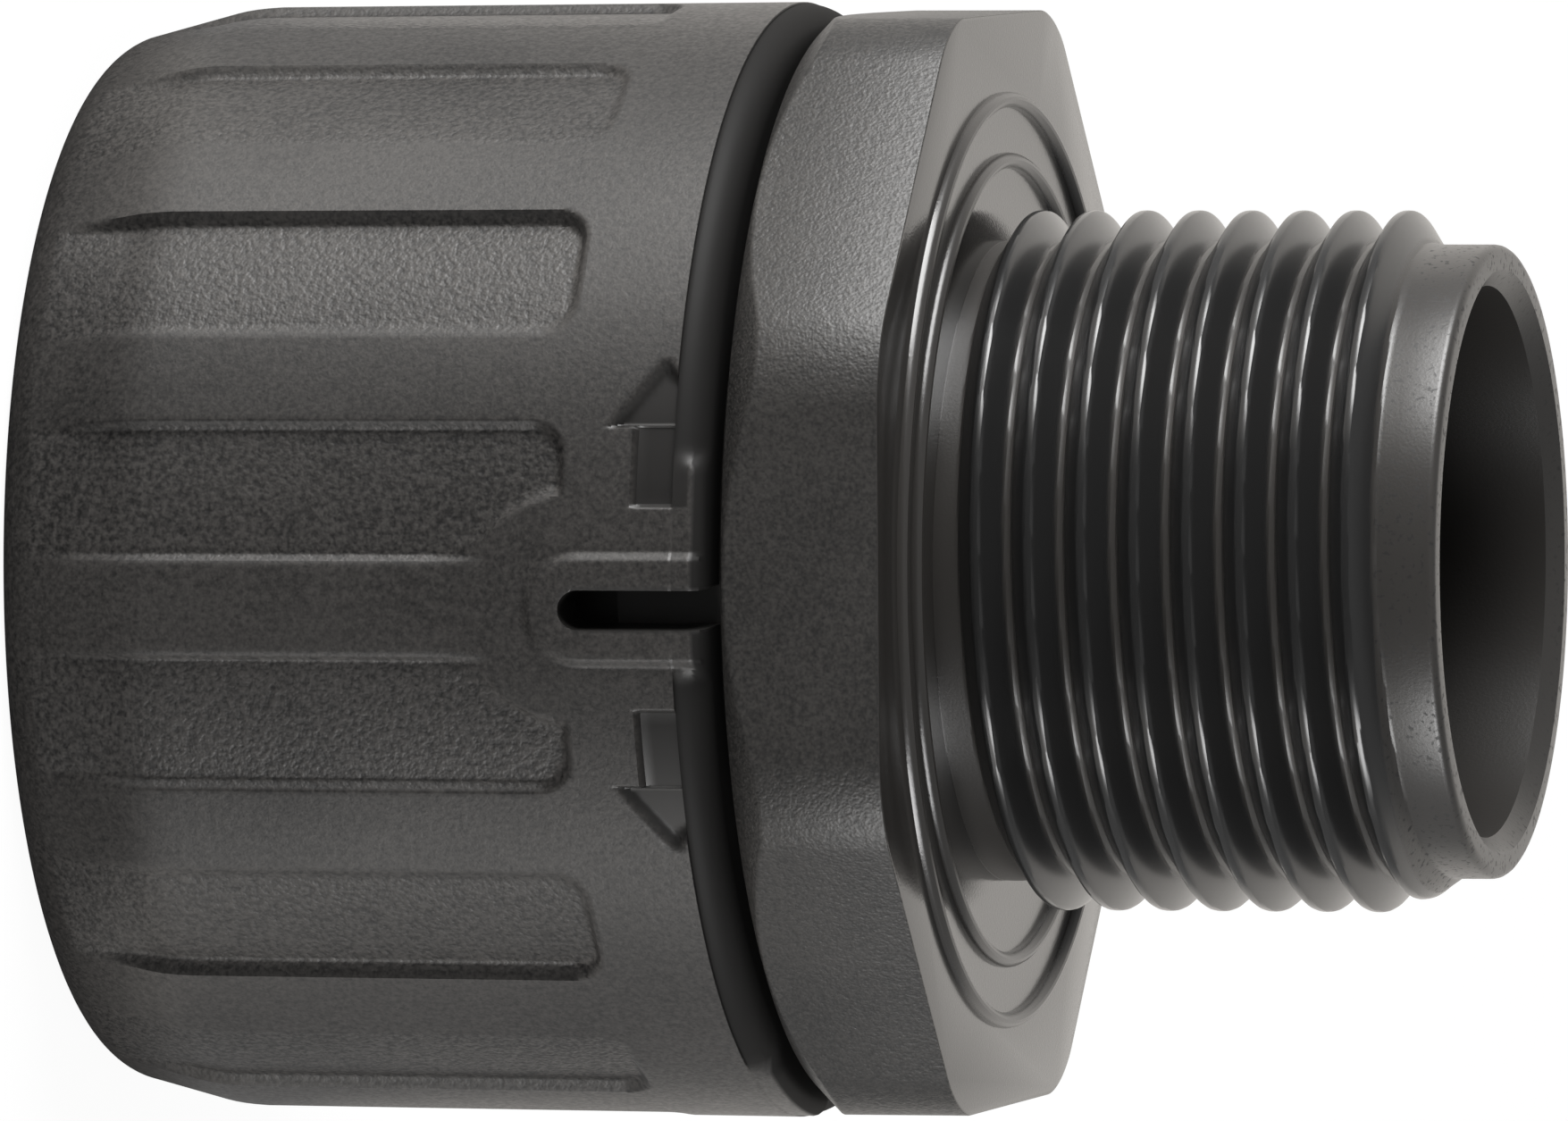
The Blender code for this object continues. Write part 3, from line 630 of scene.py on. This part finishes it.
def cap_nylon():
    """Spark-textured nylon of the cap, coarser in its panels, and smooth on its rim and in its arrows."""
    look = Finish("cap_nylon")
    grain = look.attribute("grain")
    panel = look.attribute("panel")
    specks = look.noise(6400, 1.0, 0.5)
    pits = look.noise(13000, 1.0, 0.5)
    flow = look.noise(160, 3.0)
    shade = look.ramp((specks - 0.5) * (0.6 + 0.4 * panel) + pits * 0.4 + flow * 0.3, 0.0, 0.7)
    rough_colour = look.mix(shade, (0.006, 0.0056, 0.0053, 1), (0.050, 0.0465, 0.0435, 1))
    colour = look.mix(grain, (0.015, 0.0142, 0.0135, 1), rough_colour)
    roughness = 0.36 + 0.2 * look.attribute("rim") + grain * (0.18 - 0.16 * specks)
    normal = look.bump(grain * (specks * (0.3 + 1.2 * panel) + pits * 0.25) + flow * 0.3, 0.017 * MM)
    look.finish(colour, roughness, normal)
    dull = look.node("ShaderNodeBsdfDiffuse", {}, (0.012, 0.0117, 0.0114, 1))
    share = 0.75 * look.attribute("rim")
    both = look.node("ShaderNodeMixShader", {}, share, Value(look, look.shader.outputs[0]), dull)
    look.feed(look.tree.nodes["Material Output"].inputs["Surface"], both)
    return look.material


def body_nylon():
    """Nylon of the body: grained on the collar's flats, satin on the nose, glossy on face and thread."""
    look = Finish("body_nylon")
    grain = look.attribute("grain")
    polish = look.attribute("polish")
    specks = look.noise(6000, 1.0, 0.5)
    pits = look.noise(12000, 1.0, 0.5)
    flow = look.noise(220, 3.0)
    scuffs = look.ramp(look.noise(6000, 2.0, 0.5), 0.58, 0.68) * look.attribute("nose")
    shade = look.ramp(specks * 0.4 + pits * 0.3 + flow * 0.3, 0.3, 0.7)
    rough_colour = look.mix(shade, (0.010, 0.0095, 0.009, 1), (0.038, 0.0355, 0.033, 1))
    plain = look.mix(scuffs, (0.030, 0.028, 0.026, 1), (0.012, 0.0115, 0.011, 1))
    plain = look.mix(polish, plain, (0.014, 0.014, 0.014, 1))
    colour = look.mix(grain, plain, rough_colour)
    roughness = 0.34 + grain * (0.2 - 0.16 * specks) - look.attribute("gloss") + 0.2 * scuffs
    normal = look.bump(grain * (specks * 0.8 + pits * 0.3) + (1 - polish) * 0.15 * pits, 0.02 * MM)
    return look.finish(colour, roughness, normal)


def claw_acetal():
    """Smooth dark acetal with faint flow marks."""
    look = Finish("claw_acetal")
    flow = look.noise(420, 3.0)
    specks = look.noise(5200, 2.0)
    colour = look.mix(look.ramp(flow, 0.3, 0.7), (0.042, 0.042, 0.044, 1), (0.060, 0.060, 0.062, 1))
    return look.finish(colour, 0.34 + 0.08 * specks, look.bump(flow * 0.6 + specks * 0.2, 0.02 * MM))


def seal_rubber():
    """Matt black rubber with a fine bloom."""
    look = Finish("seal_rubber")
    bloom = look.noise(900, 4.0, 0.6)
    specks = look.noise(6500, 2.0)
    colour = look.mix(look.ramp(bloom, 0.4, 0.7), (0.014, 0.014, 0.014, 1), (0.028, 0.028, 0.027, 1))
    return look.finish(colour, 0.72 + 0.12 * specks, look.bump(specks, 0.02 * MM))


def dress(piece, material):
    """Give a piece one material."""
    piece.data.materials.clear()
    piece.data.materials.append(material)


lock = lock_cap()
dress(lock, cap_nylon())
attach(lock, "lock_housing")
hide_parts("housing")
body = threaded_body()
places = points_of(body)
radius = np.hypot(places[:, 0], places[:, 1])
on_flats = (places[:, 2] < COLLAR_FACE - 0.02 * MM) & (radius > NECK_RADIUS + 0.1 * MM)
mark(body, "grain", on_flats)
on_thread = (places[:, 2] > COLLAR_FACE + 0.02 * MM) & (places[:, 2] < NOSE_FOOT) & (radius < 10.2 * MM)
polish = on_thread * step(radius, THREAD_ROOT + 0.01 * MM, THREAD_ROOT + 0.1 * MM)
mark(body, "polish", polish)
on_face = np.abs(places[:, 2] - COLLAR_FACE) < 0.01 * MM
on_beads = (places[:, 2] > COLLAR_FACE + 0.01 * MM) & (radius > 10.5 * MM)
mark(body, "gloss", 0.1 * polish + 0.2 * on_face + 0.05 * on_beads)
on_nose = (places[:, 2] > NOSE_FOOT) & (radius > BORE_RADIUS + 0.3 * MM)
mark(body, "nose", on_nose)
dress(body, body_nylon())
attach(body, "fitting_body")
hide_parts("threaded_body")
dress(bpy.data.objects["claw_ring"], claw_acetal())
dress(bpy.data.objects["conduit_seal"], seal_rubber())

# Camera, on its side and a little off level as in the photograph
camera = bpy.data.objects.new("camera", bpy.data.cameras.new("camera"))
bpy.context.scene.collection.objects.link(camera)
bpy.context.scene.camera = camera
camera.data.sensor_width = 36
camera.data.lens = CAMERA_LENS
camera.data.shift_y = CAMERA_SHIFT
rise = math.radians(CAMERA_RISE)
side = math.radians(CAMERA_TURN)
away = Vector((-math.sin(side) * math.cos(rise), -math.cos(side) * math.cos(rise), math.sin(rise)))
right = (Vector((0, 0, 1)) - away * away.z).normalized()
up = away.cross(right)
turn = Matrix((right, up, away)).transposed() @ Matrix.Rotation(math.radians(CAMERA_ROLL), 3, "Z")
place = Vector((0, 0, AIM_HEIGHT)) + away * CAMERA_DISTANCE
camera.matrix_world = Matrix.Translation(place) @ turn.to_4x4()


# Stage and light

def soft_light(name, angle, width, height, radiance):
    """A soft box of a given radiance that stands on the floor at an angle and faces the part."""
    around = math.radians(angle)
    place = Vector((LAMP_DISTANCE * math.sin(around), -LAMP_DISTANCE * math.cos(around), height / 2))
    box = bpy.data.objects.new(name, bpy.data.lights.new(name, "AREA"))
    bpy.context.scene.collection.objects.link(box)
    box.data.shape = "RECTANGLE"
    box.data.size = width
    box.data.size_y = height
    box.data.energy = radiance * math.pi * width * height
    box.location = place
    box.rotation_euler = (place - Vector((0, 0, 0.02))).to_track_quat("Z", "Y").to_euler()


def white_paper():
    """Paper of the floor: it takes shadows, looks white to the camera, and in gloss shows painted studio
    light and shade, with a painted shadow near the part.
    """
    paper = Finish("white_paper")
    paper.feed(paper.shader.inputs["Base Color"], (0.8, 0.8, 0.8, 1))
    paper.shader.inputs["Roughness"].default_value = 0.9
    # Painted light and shade: to gloss rays the floor glows white behind and towards the lamps, dim at the
    # sides and dark in front.
    gloss = paper.ray("Is Glossy Ray")
    shade = paper.mix(gloss, (1, 1, 1, 1), paper.studio(paper.places))
    # Painted shadow: near the part the floor looks dark to gloss rays, in place of the part's own shadow on
    # it.
    reach = paper.node("ShaderNodeVectorMath", {"operation": "LENGTH"}, paper.places, output="Value")
    shade = paper.mix(gloss * (1 - paper.ramp(reach, 16 * MM, 20 * MM)), shade, (0.05, 0.05, 0.05, 1))
    glow = paper.node("ShaderNodeEmission", {}, shade, 1.1)
    share = 0.85 * paper.ray("Is Camera Ray") + gloss
    both = paper.node("ShaderNodeMixShader", {}, share, Value(paper, paper.shader.outputs[0]), glow)
    paper.feed(paper.tree.nodes["Material Output"].inputs["Surface"], both)
    return paper.material


bpy.ops.mesh.primitive_plane_add(size=3, location=(0, 0, 0))
floor = bpy.context.object
floor.name = "floor"
dress(floor, white_paper())

soft_light("key", 285, 0.46, 0.27, 17.5)
soft_light("fill", 60, 0.26, 0.22, 13.5)

world = bpy.data.worlds.new("studio")
bpy.context.scene.world = world
world.use_nodes = True
sky = Shading(world.node_tree)
looking = sky.node("ShaderNodeTexCoord", {}, output="Generated")
shade = sky.mix(sky.ray("Is Glossy Ray"), (0.23, 0.23, 0.23, 1), sky.studio(looking))
shade = sky.mix(sky.ray("Is Camera Ray"), shade, (1, 1, 1, 1))
sky.feed(world.node_tree.nodes["Background"].inputs["Color"], shade)

bpy.context.scene.view_settings.view_transform = "Standard"
